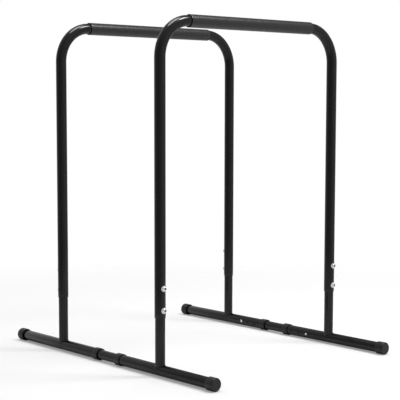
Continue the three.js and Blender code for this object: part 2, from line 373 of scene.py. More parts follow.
def turned(name: str, profile: Sequence[Pair], sides: int, ends: Ends) -> bpy.types.Object:
    """Turns a profile round the Z axis, ring by ring.

    Args:
        name: the piece's name.
        profile: radius and height of each ring, in order.
        sides: how many faces go round.
        ends: whether the ends are capped, left open, or welded to each other.

    Returns:
        The turned piece.
    """
    radius, height = profile[0]
    piece = ring(name, radius, sides, height, ends is Ends.CAPPED)
    rings = list(profile[1:]) + ([profile[0]] if ends is Ends.WELDED else [])
    with editing(piece):
        bpy.ops.mesh.select_all(action="SELECT")
        for next_radius, next_height in rings:
            extrude(Vector((0, 0, next_height - height)))
            share = next_radius / radius
            bpy.ops.transform.resize(value=(share, share, 1), center_override=(0, 0, next_height))
            radius, height = next_radius, next_height
    if ends is not Ends.OPEN:
        face_outwards(piece)
    return piece


def rod(
    radius: float, length: float, centre: Vector, turn: Matrix, sides: int = DRILL_SIDES
) -> bpy.types.Object:
    """A round rod that serves as a drill.

    Args:
        radius: the rod's radius.
        length: the rod's length.
        centre: its middle.
        turn: how it is turned from the Z axis.
        sides: how many faces go round.

    Returns:
        The rod.
    """
    deselect_all()
    bpy.ops.mesh.primitive_cylinder_add(vertices=sides, radius=radius, depth=length)
    return placed(bpy.context.object, Matrix.Translation(centre) @ turn)


def cut(piece: bpy.types.Object, tool: bpy.types.Object, way: Cut = Cut.TAKE_AWAY) -> None:
    """Cuts one piece with another, which is then gone.

    Args:
        piece: the piece that is cut.
        tool: the drill or mould that cuts it.
        way: which part of the piece is left.
    """
    boolean = piece.modifiers.new("cut", "BOOLEAN")
    boolean.operation = way.value
    boolean.solver = "EXACT"
    boolean.object = tool
    apply_modifiers(piece)
    discard(tool)


@dataclass(frozen=True)
class TubeForm:
    """How a tube is made: its wall, the rounding of its rims, and how many faces go round."""

    wall: float
    rim_round: float
    sides: int = 72


def walled(skin: bpy.types.Object, form: TubeForm) -> bpy.types.Object:
    """Gives an open skin the wall and the rims of a tube.

    Args:
        skin: the tube's outside, with its ends open.
        form: how the tube is made.

    Returns:
        The tube.
    """
    face_outwards(skin)
    thicken(skin, form.wall, Grow.INWARDS)
    round_edges(skin, form.rim_round, RIM_DEGREES)
    return skin


def straight_tube(
    name: str, radius: float, stations: Sequence[float], form: TubeForm
) -> bpy.types.Object:
    """A straight round tube on the Z axis, with a ring at each of its stations."""
    skin = turned(name, [(radius, height) for height in stations], form.sides, Ends.OPEN)
    return walled(skin, form)


def drilled_tube(
    name: str, radius: float, span: Pair, holes: Sequence[float], hole_radius: float, form: TubeForm
) -> bpy.types.Object:
    """A straight tube about the X axis, with button holes in its side towards +Y.

    Args:
        name: the piece's name.
        radius: the tube's outer radius.
        span: where it starts and where it ends.
        holes: where its holes are.
        hole_radius: the radius of the holes.
        form: how the tube is made.

    Returns:
        The tube.
    """
    start, end = span
    stations = [start]
    for hole in holes:
        stations += [hole - 2 * hole_radius, hole + 2 * hole_radius]
    stations.append(end)
    tube = placed(straight_tube(name, radius, stations, form), TO_X)
    for hole in holes:
        cut(tube, rod(hole_radius, radius, Vector((hole, radius, 0)), TO_Y))
    shade_smooth(tube)
    return tube


def fill_inputs(node: bpy.types.Node, inputs: dict[str | int, object]) -> None:
    """Sets or links the inputs of a node.

    Args:
        node: the node.
        inputs: for each input, by its name or place, its value or the socket that feeds it.
    """
    for key, value in inputs.items():
        if isinstance(value, Socket):
            node.id_data.links.new(value, node.inputs[key])
        else:
            node.inputs[key].default_value = value


def add_node(
    tree: bpy.types.NodeTree, kind: str, inputs: dict[str | int, object], **settings: object
) -> bpy.types.Node:
    """Adds a node to a material or to the surround.

    Args:
        tree: the nodes that it joins.
        kind: the node's type.
        inputs: for each input, by its name or place, its value or the socket that feeds it.
        settings: the node's own settings.

    Returns:
        The node.
    """
    node = tree.nodes.new(kind)
    for name, value in settings.items():
        setattr(node, name, value)
    fill_inputs(node, inputs)
    return node


class Shading:
    """The nodes of one material, whose patterns follow object coordinates."""

    # The values at which a pattern counts as low and as high.
    pattern_range: Pair = (0.3, 0.7)

    def __init__(self, name: str) -> None:
        """Makes a material with a surface shader and no pattern.

        Args:
            name: the material's name.
        """
        self.material = bpy.data.materials.new(name)
        self.material.use_nodes = True
        self.tree = self.material.node_tree
        self.shader = self.tree.nodes["Principled BSDF"]
        self.place = add_node(self.tree, "ShaderNodeTexCoord", {}).outputs["Object"]

    def set(self, **inputs: object) -> None:
        """Sets or links the shader's inputs, with underscores for the spaces in their names."""
        fill_inputs(self.shader, {name.replace("_", " "): value for name, value in inputs.items()})

    def noise(self, scale: float, detail: float = 2.0, stretch: Vector | None = None) -> Socket:
        """Cloudy noise.

        Args:
            scale: how many clouds fit in a metre.
            detail: how many finer layers lie on it.
            stretch: how much denser it is along each axis, or None.

        Returns:
            The noise's value.
        """
        place = self.place
        if stretch is not None:
            mapping = add_node(self.tree, "ShaderNodeMapping", {"Vector": place, "Scale": stretch})
            place = mapping.outputs["Vector"]
        inputs = {"Vector": place, "Scale": scale, "Detail": detail}
        return add_node(self.tree, "ShaderNodeTexNoise", inputs).outputs["Fac"]

    def cells(self, scale: float) -> Socket:
        """Distance to the nearest of many scattered points."""
        inputs = {"Vector": self.place, "Scale": scale}
        return add_node(self.tree, "ShaderNodeTexVoronoi", inputs).outputs["Distance"]

    def colour(self, pattern: Socket, dark: Colour, light: Colour) -> None:
        """Colours the surface between two tones.

        Args:
            pattern: what the tone follows.
            dark: the tone where the pattern is low.
            light: the tone where it is high.
        """
        ramp = add_node(self.tree, "ShaderNodeValToRGB", {"Fac": pattern})
        for stop, place, tone in zip(ramp.color_ramp.elements, self.pattern_range, (dark, light)):
            stop.position = place
            stop.color = (*tone, 1)
        self.set(Base_Color=ramp.outputs["Color"])

    def vary_roughness(self, pattern: Socket, low: float, high: float) -> None:
        """Varies the roughness between two values.

        Args:
            pattern: what the roughness follows.
            low: the roughness where the pattern is low.
            high: the roughness where it is high.
        """
        least, most = self.pattern_range
        inputs = {"Value": pattern, "From Min": least, "From Max": most, "To Min": low, "To Max": high}
        self.set(Roughness=add_node(self.tree, "ShaderNodeMapRange", inputs).outputs["Result"])

    def relief(self, layers: Relief) -> None:
        """Raises the surface by one or more patterns.

        Args:
            layers: pairs of a pattern and its height.
        """
        below = {}
        for pattern, height in layers:
            inputs = {"Height": pattern, "Distance": height, **below}
            below = {"Normal": add_node(self.tree, "ShaderNodeBump", inputs).outputs["Normal"]}
        fill_inputs(self.shader, below)


@dataclass(frozen=True, kw_only=True)
class Finish(ABC):
    """What every finish has: two tones and a roughness that follow one pattern, and a relief."""

    name: str
    dark: Colour
    light: Colour
    roughness: Pair
    gloss_level: float = 0.5
    metal: float = 0.0

    @abstractmethod
    def patterns(self, shading: Shading) -> tuple[Socket, Relief]:
        """The pattern that tone and roughness follow, and the relief's patterns with their heights."""

    def make(self) -> bpy.types.Material:
        """Makes the finish.

        Returns:
            The finish as a material.
        """
        shading = Shading(self.name)
        shading.set(Specular_IOR_Level=self.gloss_level, Metallic=self.metal)
        pattern, layers = self.patterns(shading)
        shading.colour(pattern, self.dark, self.light)
        shading.vary_roughness(pattern, *self.roughness)
        shading.relief(layers)
        return shading.material


@dataclass(frozen=True, kw_only=True)
class GrainedFinish(Finish):
    """A finish with broad clouds of tone and a fine grain in its surface."""

    cloud_per_metre: float
    cloud_detail: float = 3.0
    grain_per_metre: float
    grain_detail: float = 2.0
    grain_height: float

    def patterns(self, shading: Shading) -> tuple[Socket, Relief]:
        """The clouds, and the grain as relief."""
        clouds = shading.noise(self.cloud_per_metre, self.cloud_detail)
        return clouds, [(shading.noise(self.grain_per_metre, self.grain_detail), self.grain_height)]


@dataclass(frozen=True)
class PowderCoat(GrainedFinish):
    """Black satin powder coat: a fine orange peel with slightly uneven gloss."""

    name: str = "satin_powder_coat"
    dark: Colour = (0.004, 0.004, 0.0041)
    light: Colour = (0.006, 0.006, 0.0061)
    roughness: Pair = (0.13, 0.17)
    gloss_level: float = 0.35
    cloud_per_metre: float = 24.0
    cloud_detail: float = 4.0
    grain_per_metre: float = 620.0
    grain_height: float = 0.000015


@dataclass(frozen=True)
class MouldedPlastic(GrainedFinish):
    """Black moulded plastic with a fine spark-eroded grain."""

    name: str = "moulded_plastic"
    dark: Colour = (0.007, 0.007, 0.0071)
    light: Colour = (0.01, 0.01, 0.0101)
    roughness: Pair = (0.3, 0.36)
    gloss_level: float = 0.36
    cloud_per_metre: float = 60.0
    grain_per_metre: float = 1500.0
    grain_detail: float = 1.0
    grain_height: float = 0.00004


@dataclass(frozen=True)
class BrightPlate(GrainedFinish):
    """Bright plated steel: faint clouds in its slightly milky gloss, and the marks of the tool."""

    name: str = "bright_plate"
    dark: Colour = (0.86, 0.86, 0.855)
    light: Colour = (0.96, 0.96, 0.955)
    roughness: Pair = (0.16, 0.26)
    metal: float = 0.6
    cloud_per_metre: float = 420.0
    grain_per_metre: float = 2600.0
    grain_height: float = 0.000008


@dataclass(frozen=True)
class GripFoam(Finish):
    """Charcoal closed-cell foam: matte, with fine cells, a soft swell and a faint mottle."""

    name: str = "grip_foam"
    dark: Colour = (0.009, 0.009, 0.0092)
    light: Colour = (0.013, 0.013, 0.0132)
    roughness: Pair = (0.3, 0.36)
    gloss_level: float = 0.6
    mottle_per_metre: float = 90.0
    mottle_detail: float = 5.0
    swell_per_metre: float = 260.0
    swell_height: float = 0.00006
    cells_per_metre: float = 1300.0
    cell_height: float = 0.00004

    def patterns(self, shading: Shading) -> tuple[Socket, Relief]:
        """The mottle, and the swell and the cells as relief.

        Args:
            shading: the nodes of the foam's material.

        Returns:
            The mottle, and the relief's layers.
        """
        swell = (shading.noise(self.swell_per_metre), self.swell_height)
        cells = (shading.cells(self.cells_per_metre), self.cell_height)
        return shading.noise(self.mottle_per_metre, self.mottle_detail), [swell, cells]


@dataclass(frozen=True)
class CutFoamPaintedShade(Finish):
    """The cut ends of the foam, near black: partly their open cells, and partly painted shade where the
    end faces lie in shadow.
    """

    name: str = "cut_foam_end_painted_shade"
    dark: Colour = (0.001, 0.001, 0.001)
    light: Colour = (0.003, 0.003, 0.003)
    roughness: Pair = (0.85, 0.95)
    gloss_level: float = 0.05
    cells_per_metre: float = 1100.0
    cell_height: float = 0.0002

    def patterns(self, shading: Shading) -> tuple[Socket, Relief]:
        """The open cells, also as relief."""
        cells = shading.cells(self.cells_per_metre)
        return cells, [(cells, self.cell_height)]


@dataclass(frozen=True)
class SocketPaintedShade(Finish):
    """Painted shade inside a bolt's socket: near black in the recess of the plated head."""

    name: str = "socket_painted_shade"
    dark: Colour = (0.006, 0.006, 0.006)
    light: Colour = (0.02, 0.02, 0.02)
    roughness: Pair = (0.5, 0.7)
    gloss_level: float = 0.3
    shade_mottle_per_metre: float = 900.0
    shade_mottle_detail: float = 3.0
    shade_mottle_height: float = 0.00002

    def patterns(self, shading: Shading) -> tuple[Socket, Relief]:
        """The painted shade's mottle, also as relief."""
        shade_mottle = shading.noise(self.shade_mottle_per_metre, self.shade_mottle_detail)
        return shade_mottle, [(shade_mottle, self.shade_mottle_height)]


@dataclass(frozen=True)
class SpringSteel(Finish):
    """Plain steel of the hidden springs and nuts, with rolling marks along it."""

    name: str = "plain_spring_steel"
    dark: Colour = (0.2, 0.205, 0.215)
    light: Colour = (0.33, 0.335, 0.345)
    roughness: Pair = (0.3, 0.42)
    metal: float = 1.0
    streak_per_metre: float = 40.0
    streak_detail: float = 3.0
    streak_stretch: tuple[float, float, float] = (1.0, 40.0, 40.0)
    streak_height: float = 0.00001

    def patterns(self, shading: Shading) -> tuple[Socket, Relief]:
        """The streaks, also as relief."""
        streaks = shading.noise(self.streak_per_metre, self.streak_detail, Vector(self.streak_stretch))
        return streaks, [(streaks, self.streak_height)]


class Finishes:
    """The part's finishes, each made once."""

    def __init__(self) -> None:
        """Makes the material of every slot, and for two of them a painted shade for their shaded places.
        """
        self.materials = {
            Slot.POWDER_COAT: PowderCoat().make(),
            Slot.FOAM_GRIP: GripFoam().make(),
            Slot.BLACK_PLASTIC: MouldedPlastic().make(),
            Slot.BRIGHT_STEEL: BrightPlate().make(),
            Slot.SPRING_STEEL: SpringSteel().make(),
        }
        # Painted shade, near black: the grips' cut ends and the bolts' sockets.
        self.painted_shade = {
            Slot.FOAM_GRIP: CutFoamPaintedShade().make(),
            Slot.BRIGHT_STEEL: SocketPaintedShade().make(),
        }

    def dress(self, piece: bpy.types.Object, slot: Slot, body: str, *nodes: str) -> None:
        """Finishes a new piece and ties it to the frame.

        Args:
            piece: the finished mesh. Its faces with material index 1 get the slot's painted shade.
            slot: its material slot.
            body: the body that it moves with.
            nodes: the frame's nodes that it stands for.
        """
        piece.data.materials.append(self.materials[slot])
        if any(face.material_index for face in piece.data.polygons):
            piece.data.materials.append(self.painted_shade[slot])
        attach(piece, body)
        if nodes:
            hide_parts(*nodes)
        log.info("%s on %s, %s", piece.name, body, slot.value)


@dataclass(frozen=True)
class Plan:
    """Places and sizes that several sub-assemblies share, most of them read from the frame."""

    bar_x: float
    leg_y: float
    bar_z: float
    foot_z: float
    sleeve_end: float
    outer_radius: float
    inner_radius: float
    seat_gap: float = 0.0003
    bolt_hole_radius: float = 0.0045
    button_hole_radius: float = 0.0042

    @classmethod
    def from_frame(cls) -> "Plan":
        """Reads the plan from the boxes of the frame's nodes.

        Returns:
            The plan.
        """
        bar_low, bar_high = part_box("right_bar")
        tube_low, tube_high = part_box("front_connector")
        outer_radius = (bar_high.x - bar_low.x) / 2
        return cls(
            bar_x=(bar_low.x + bar_high.x) / 2,
            leg_y=bar_high.y - outer_radius,
            bar_z=bar_high.z - outer_radius,
            foot_z=(tube_low.z + tube_high.z) / 2,
            sleeve_end=bar_low.z,
            outer_radius=outer_radius,
            inner_radius=(tube_high.z - tube_low.z) / 2,
        )

    def upright_place(self, corner: Corner, height: float = 0.0) -> Matrix:
        """Where a piece of an upright goes.

        Args:
            corner: the upright's corner.
            height: how high the piece's own origin is.

        Returns:
            The place of a piece modelled round the Z axis, with outwards at +X.
        """
        spot = (corner.side.outward * self.bar_x, -corner.end.inward * self.leg_y, height)
        turn = ABOUT_FACE if corner.side is Side.LEFT else NO_TURN
        return Matrix.Translation(spot) @ turn

    def foot_place(self, corner: Corner) -> Matrix:
        """Where a piece of a foot goes.

        Args:
            corner: the foot's corner.

        Returns:
            The place of a piece modelled about the X axis, with outwards at +X and the user at +Y.
        """
        line = Matrix.Translation((0, -corner.end.inward * self.leg_y, self.foot_z))
        turn = ABOUT_FACE if corner.side is Side.LEFT else NO_TURN
        faces_user = corner.side.outward * corner.end.inward > 0
        return line @ turn @ (NO_TURN if faces_user else UPSIDE_DOWN)


@dataclass
class BentBars:
    """The two bars, each one tube bent twice, with its legs' bolt holes."""

    plan: Plan
    form: TubeForm = TubeForm(wall=0.0012, rim_round=0.00035)
    bend_radius: float = 0.104
    bend_steps: int = 28

    def bent_skin(self) -> bpy.types.Object:
        """Bends the outer skin of the right bar, from the front leg's end to the back leg's.

        Returns:
            The skin, with its ends open.
        """
        plan = self.plan
        bend_height = plan.bar_z - self.bend_radius
        stretches = self.leg_stretches(bend_height)
        skin = ring("right_bar_tube", plan.outer_radius, self.form.sides, plan.sleeve_end, False)
        placed(skin, Matrix.Translation((plan.bar_x, -plan.leg_y, 0)))
        with editing(skin):
            bpy.ops.mesh.select_all(action="SELECT")
            for low, high in stretches:
                extrude(Vector((0, 0, high - low)))
            self.bend(-1, bend_height)
            extrude(Vector((0, 2 * (plan.leg_y - self.bend_radius), 0)))
            self.bend(1, bend_height)
            for low, high in reversed(stretches):
                extrude(Vector((0, 0, low - high)))
        return skin

    def leg_stretches(self, bend_height: float) -> list[Pair]:
        """Divides a leg, with a ring below and above each bolt hole.

        Args:
            bend_height: how high the bend starts.

        Returns:
            The lowest and highest place of each stretch.
        """
        heights = [self.plan.sleeve_end]
        for level in Level:
            low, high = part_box(MODEL_CORNER.name(f"{level.value}_washer"))
            heights += [low.z, high.z]
        heights.append(bend_height)
        return list(zip(heights, heights[1:]))

    def bend(self, way: int, bend_height: float) -> None:
        """Spins the selected ring through one of the bends.

        Args:
            way: -1 for the front bend, 1 for the back one.
            bend_height: how high the bend starts.
        """
        centre = (self.plan.bar_x, way * (self.plan.leg_y - self.bend_radius), bend_height)
        bpy.ops.mesh.spin(
            steps=self.bend_steps, angle=QUARTER_TURN, center=centre, axis=(1, 0, 0), dupli=False
        )

    def build(self, finishes: Finishes) -> None:
        """Makes both bars.

        Args:
            finishes: the part's finishes.
        """
        right = walled(self.bent_skin(), self.form)
        for end in End:
            for level in Level:
                low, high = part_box(Corner(end, Side.RIGHT).name(f"{level.value}_washer"))
                centre = Vector((high.x, (low.y + high.y) / 2, (low.z + high.z) / 2))
                cut(right, rod(self.plan.bolt_hole_radius, self.plan.outer_radius, centre, TO_X))
        shade_smooth(right)
        left = copied(right, "left_bar_tube", ABOUT_FACE)
        finishes.dress(right, Slot.POWDER_COAT, Side.RIGHT.body, "right_bar")
        finishes.dress(left, Slot.POWDER_COAT, Side.LEFT.body, "left_bar")


@dataclass
class FoamGrips:
    """The foam sleeves over the straight tops of the bars."""

    plan: Plan
    undercut: float = 0.0012
    end_round: float = 0.0008
    ease: float = 0.0002
    ease_per_metre: float = 26.0
    sides: int = 96
    ring_spacing: float = 0.006
    fill: float = 0.9

    def sleeve(self, half_length: float, radius: float) -> bpy.types.Object:
        """A foam sleeve on the Z axis, about the origin.

        Args:
            half_length: half of the sleeve's length.
            radius: its outer radius.

        Returns:
            The sleeve.
        """
        bore = self.plan.outer_radius + self.plan.seat_gap
        edge = self.end_round
        rings = round(2 * (half_length - edge) / self.ring_spacing)
        straight = [
            (radius, edge - half_length + step * 2 * (half_length - edge) / rings)
            for step in range(1, rings)
        ]
        centre = radius - edge
        mouth = half_length - self.undercut
        profile = [(bore, -mouth)]
        profile += arc((centre, edge - half_length), (edge, edge), -QUARTER_TURN, 0, EDGE_STEPS)
        profile += straight
        profile += arc((centre, half_length - edge), (edge, edge), 0, QUARTER_TURN, EDGE_STEPS)
        profile.append((bore, mouth))
        sleeve = turned("right_grip_foam", profile, self.sides, Ends.WELDED)
        # The slightly hollow ends, inside their rounded edges, show the cut foam, coloured near black as
        # painted shade.
        for face in sleeve.data.polygons:
            at_end = abs(face.center.z) > mouth
            face.material_index = int(at_end and face.center.xy.length < centre)
        return sleeve

    def soften(self, grip: bpy.types.Object) -> None:
        """Lets the foam's outside rise and fall a little, as cut foam does.

        Args:
            grip: the sleeve, still on the Z axis.
        """
        unevenness = bpy.data.textures.new("foam_unevenness", "CLOUDS")
        unevenness.noise_scale = 1 / self.ease_per_metre
        unevenness.noise_depth = 1
        outside = grip.vertex_groups.new(name="outside")
        middle = self.plan.outer_radius + 2 * self.plan.seat_gap
        outer = [point.index for point in grip.data.vertices if point.co.xy.length > middle]
        outside.add(outer, 1.0, "REPLACE")
        displace = grip.modifiers.new("ease", "DISPLACE")
        displace.texture = unevenness
        displace.texture_coords = "LOCAL"
        displace.strength = self.ease
        displace.mid_level = 0.5
        displace.vertex_group = outside.name
        apply_modifiers(grip)

    def build(self, finishes: Finishes) -> None:
        """Makes both grips.

        Args:
            finishes: the part's finishes.
        """
        low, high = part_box("right_grip")
        right = self.sleeve((high.y - low.y) / 2, (high.x - low.x) / 2 - self.ease / 2)
        self.soften(right)
        shade_smooth(right, EDGE_DEGREES)
        placed(right, Matrix.Translation((self.plan.bar_x, 0, self.plan.bar_z)) @ TO_Y)
        left = copied(right, "left_grip_foam", ABOUT_FACE)
        finishes.dress(right, Slot.FOAM_GRIP, Side.RIGHT.body, "right_grip")
        finishes.dress(left, Slot.FOAM_GRIP, Side.LEFT.body, "left_grip")


@dataclass
class Uprights:
    """The four lower uprights, shaped to their feet, with the weld round each joint."""

    plan: Plan
    form: TubeForm = TubeForm(wall=0.0015, rim_round=0.0004)
    seat_sides: int = 96
    bead_radius: float = 0.0014
    bead_offset: float = 0.0006
    bead_points: int = 144
    bead_resolution: int = 4
    ripples: int = 36
    ripple_share: float = 0.1

    def tube(self, top: float) -> bpy.types.Object:
        """An upright round the Z axis, at its true heights, with its bolt holes towards +X.

        Args:
            top: how high it reaches.

        Returns:
            The upright.
        """
        plan = self.plan
        stations = [plan.foot_z, plan.foot_z + 2 * plan.outer_radius, plan.sleeve_end, top]
        upright = straight_tube("upright_source", plan.inner_radius, stations, self.form)
        seat = Vector((0, 0, plan.foot_z))
        reach = 4 * plan.outer_radius
        cut(upright, rod(plan.outer_radius + plan.seat_gap, reach, seat, TO_X, self.seat_sides))
        for level in Level:
            low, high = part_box(MODEL_CORNER.name(f"{level.value}_washer"))
            centre = Vector((plan.inner_radius, 0, (low.z + high.z) / 2))
            cut(upright, rod(plan.bolt_hole_radius, plan.inner_radius, centre, TO_X))
        shade_smooth(upright)
        return upright

    def bead(self) -> bpy.types.Object:
        """The rippled weld bead where an upright meets its foot, round the Z axis.

        Returns:
            The bead.
        """
        plan = self.plan
        across = plan.inner_radius + self.bead_offset
        along = plan.outer_radius + self.bead_offset
        line = bpy.data.curves.new("weld_source", "CURVE")
        line.dimensions = "3D"
        line.bevel_depth = self.bead_radius
        line.bevel_resolution = self.bead_resolution
        spline = line.splines.new("POLY")
        spline.points.add(self.bead_points - 1)
        spline.use_cyclic_u = True
        for index, point in enumerate(spline.points):
            turn = 2 * math.pi * index / self.bead_points
            x, y = across * math.cos(turn), across * math.sin(turn)
            point.co = (x, y, plan.foot_z + math.sqrt(along**2 - y**2), 1)
            point.radius = 1 + self.ripple_share * math.cos(self.ripples * turn)
        curve = bpy.data.objects.new("weld_source", line)
        bpy.context.scene.collection.objects.link(curve)
        make_active(curve)
        bpy.ops.object.convert(target="MESH")
        bead = bpy.context.object
        face_outwards(bead)
        shade_smooth(bead, RIM_DEGREES)
        return bead

    def build(self, finishes: Finishes) -> None:
        """Makes the four uprights and their welds.

        Args:
            finishes: the part's finishes.
        """
        _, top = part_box(MODEL_CORNER.name("upright"))
        upright, bead = self.tube(top.z), self.bead()
        for corner in CORNERS:
            place, body = self.plan.upright_place(corner), corner.side.body
            tube = copied(upright, corner.name("upright_tube"), place)
            finishes.dress(tube, Slot.POWDER_COAT, body, corner.name("upright"))
            weld = copied(bead, corner.name("weld_bead"), place)
            finishes.dress(weld, Slot.POWDER_COAT, body)
        discard(upright, bead)


@dataclass
class Feet:
    """The four foot tubes with their button holes, end caps and collars."""

    plan: Plan
    form: TubeForm = TubeForm(wall=0.0012, rim_round=0.0003)
    hole_count: int = 3
    hole_pitch: float = 0.032
    cap_end_wall: float = 0.004
    cap_end_round: float = 0.0036
    cap_dish: float = 0.0005
    cap_rim: float = 0.0045
    mouth_round: float = 0.0007
    lip: float = 0.004
    lip_clearance: float = 0.0004

    def tube(self, start: float, end: float, radius: float) -> bpy.types.Object:
        """A foot tube with its button holes, the last one over the button.

        Args:
            start: where its inner end is.
            end: where its outer end is.
            radius: its outer radius.

        Returns:
            The tube, about the X axis.
        """
        low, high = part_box(MODEL_CORNER.name("snap_button"))
        button_x = (low.x + high.x) / 2
        holes = [button_x - index * self.hole_pitch for index in reversed(range(self.hole_count))]
        hole_radius = self.plan.button_hole_radius
        return drilled_tube("foot_source", radius, (start, end), holes, hole_radius, self.form)

    def cap(self, mouth: float, end: float, radius: float) -> bpy.types.Object:
        """An end cap: a cup whose flat end is very slightly dished inside a rim.

        Args:
            mouth: where its open end is.
            end: where its closed end is.
            radius: its outer radius.

        Returns:
            The cap, about the X axis.
        """
        bore = self.plan.outer_radius + self.plan.seat_gap
        rim, big = self.mouth_round, self.cap_end_round
        face = radius - big
        dish = face - self.cap_rim
        profile = [(bore / 2, end - self.cap_end_wall), (bore, end - self.cap_end_wall)]
        profile.append((bore, mouth + rim / 2))
        profile += arc((radius - rim, mouth + rim), (rim, rim), -QUARTER_TURN, 0, EDGE_STEPS)
        profile += arc((face, end - big), (big, big), 0, QUARTER_TURN, DOME_STEPS)
        profile += [(dish + self.cap_dish, end), (dish, end - self.cap_dish)]
        cap = turned("cap_source", profile, self.form.sides, Ends.CAPPED)
        shade_smooth(cap)
        return placed(cap, TO_X)

    def collar(self, mouth: float, end: float, radius: float) -> bpy.types.Object:
        """A collar: a ring over the foot tube's inner end, whose mouth guides the connector.

        Args:
            mouth: where its narrow mouth is.
            end: where its wide end is.
            radius: its outer radius.

        Returns:
            The collar, about the X axis.
        """
        rim = self.mouth_round
        bore = self.plan.outer_radius + self.plan.seat_gap
        mouth_bore = self.plan.inner_radius + self.lip_clearance
        profile = [(mouth_bore, mouth + rim / 2), (mouth_bore + rim / 2, mouth)]
        profile += arc((radius - rim, mouth + rim), (rim, rim), -QUARTER_TURN, 0, EDGE_STEPS)
        profile += arc((radius - rim, end - rim), (rim, rim), 0, QUARTER_TURN, EDGE_STEPS)
        profile += [(bore, end), (bore, mouth + self.lip), (mouth_bore, mouth + self.lip)]
        collar = turned("collar_source", profile, self.form.sides, Ends.WELDED)
        shade_smooth(collar)
        return placed(collar, TO_X)

    def build(self, finishes: Finishes) -> None:
        """Makes the four feet.

        Args:
            finishes: the part's finishes.
        """
        kinds = (
            ("foot_tube", self.tube, "foot", Slot.POWDER_COAT),
            ("end_cap", self.cap, "foot_cap", Slot.BLACK_PLASTIC),
            ("collar", self.collar, "collar_ring", Slot.BLACK_PLASTIC),
        )
        sources = []
        for node, make, _, _ in kinds:
            low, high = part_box(MODEL_CORNER.name(node))
            sources.append(make(low.x, high.x, (high.z - low.z) / 2))
        for corner in CORNERS:
            place = self.plan.foot_place(corner)
            for source, (node, _, word, slot) in zip(sources, kinds):
                piece = copied(source, corner.name(word), place)
                finishes.dress(piece, slot, corner.side.body, corner.name(node))
        discard(*sources)


@dataclass
class Connectors:
    """The two connector tubes with their snap buttons."""

    plan: Plan
    form: TubeForm = TubeForm(wall=0.0015, rim_round=0.0004)
    button_radius: float = 0.0035
    button_round: float = 0.0024
    button_sides: int = 48
    flange: float = 0.001

    def button(self, seat: float, top: float, flange_radius: float) -> bpy.types.Object:
        """A snap button: a domed pin on a flange, along Y.

        Args:
            seat: how far its underside is from the connector's centre line.
            top: how far its dome reaches.
            flange_radius: the flange's radius.

        Returns:
            The button, with its pin towards +Y.
        """
        edge, radius = self.button_round, self.button_radius
        profile = [(flange_radius, seat), (flange_radius, seat + self.flange)]
        profile.append((radius, seat + self.flange))
        profile += arc((radius - edge, top - edge), (edge, edge), 0, QUARTER_TURN, DOME_STEPS)
        button = turned("button_source", profile, self.button_sides, Ends.CAPPED)
        shade_smooth(button)
        return placed(button, TO_Y)

    def build(self, finishes: Finishes) -> None:
        """Makes both connectors and the four buttons.

        Args:
            finishes: the part's finishes.
        """
        plan = self.plan
        _, tube_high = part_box("front_connector")
        low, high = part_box(MODEL_CORNER.name("snap_button"))
        half_length, button_x = tube_high.x, (low.x + high.x) / 2
        span, holes = (-half_length, half_length), (-button_x, button_x)
        tube = drilled_tube(
            "connector_source", plan.inner_radius, span, holes, plan.button_hole_radius, self.form
        )
        button = self.button(low.y + plan.leg_y, high.y + plan.leg_y, (high.x - low.x) / 2)
        for end in End:
            place, connector = plan.foot_place(Corner(end, Side.RIGHT)), f"{end.value}_connector"
            piece = copied(tube, f"{connector}_tube", place)
            finishes.dress(piece, Slot.POWDER_COAT, connector, connector)
            for side in Side:
                corner = Corner(end, side)
                spot = place @ Matrix.Translation((side.outward * button_x, 0, 0))
                pin = copied(button, corner.name("button_pin"), spot)
                node = corner.name("snap_button")
                finishes.dress(pin, Slot.BRIGHT_STEEL, corner.name("button"), node)
        discard(tube, button)


@dataclass
class ButtonSprings:
    """The V of strip behind each snap button, which closes up as its button is pressed."""

    plan: Plan
    thickness: float = 0.0008
    width: float = 0.01
    edge_round: float = 0.0002
    bend_radius: float = 0.0026
    bend_steps: int = 16
    seat_length: float = 0.014

    def strip(self, low: Vector, high: Vector) -> bpy.types.Object:
        """The spring of the front right button, from its flat seat round to its far leg.

        Args:
            low: the spring's lowest corner, from the foot's centre line.
            high: its highest corner, from the foot's centre line.

        Returns:
            The spring.
        """
        seat, far = high.y - self.thickness / 2, low.y + self.thickness / 2
        seat_start = high.x - self.seat_length
        bend = low.x + self.bend_radius + self.thickness / 2
        deselect_all()
        bpy.ops.mesh.primitive_plane_add(size=1)
        strip = bpy.context.object
        middle = Matrix.Translation((high.x - self.seat_length / 2, seat, 0))
        plate = Matrix.Diagonal((self.seat_length, self.width, 1, 1))
        placed(strip, middle @ Matrix.Rotation(QUARTER_TURN, 4, "X") @ plate)
        select_points(strip, lambda point: point.x < seat_start + WELD_DISTANCE)
        # The strip's edge is led to the bend, round it, back out and along the far leg.
        with editing(strip):
            extrude(Vector((bend - seat_start, self.bend_radius - seat, 0)))
            bpy.ops.mesh.spin(
                steps=self.bend_steps, angle=HALF_TURN, center=(bend, 0, 0), axis=(0, 0, -1), dupli=False
            )
            extrude(Vector((seat_start - bend, far + self.bend_radius, 0)))
            extrude(Vector((self.seat_length, 0, 0)))
        face_outwards(strip)
        thicken(strip, self.thickness, Grow.BOTH_WAYS)
        round_edges(strip, self.edge_round, EDGE_DEGREES)
        shade_smooth(strip)
        return strip

    def build(self, finishes: Finishes) -> None:
        """Makes the four springs, each on its connector.

        Args:
            finishes: the part's finishes.
        """
        line = Vector((0, -self.plan.leg_y, self.plan.foot_z))
        low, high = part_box(MODEL_CORNER.name("button_spring"))
        strip = self.strip(low - line, high - line)
        for corner in CORNERS:
            spring = copied(strip, corner.name("spring_strip"), self.plan.foot_place(corner))
            node, joint = corner.name("button_spring"), corner.name("button_press")
            finishes.dress(spring, Slot.SPRING_STEEL, f"{corner.end.value}_connector", node)
            low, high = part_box(node)
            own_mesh(spring)
        discard(strip)


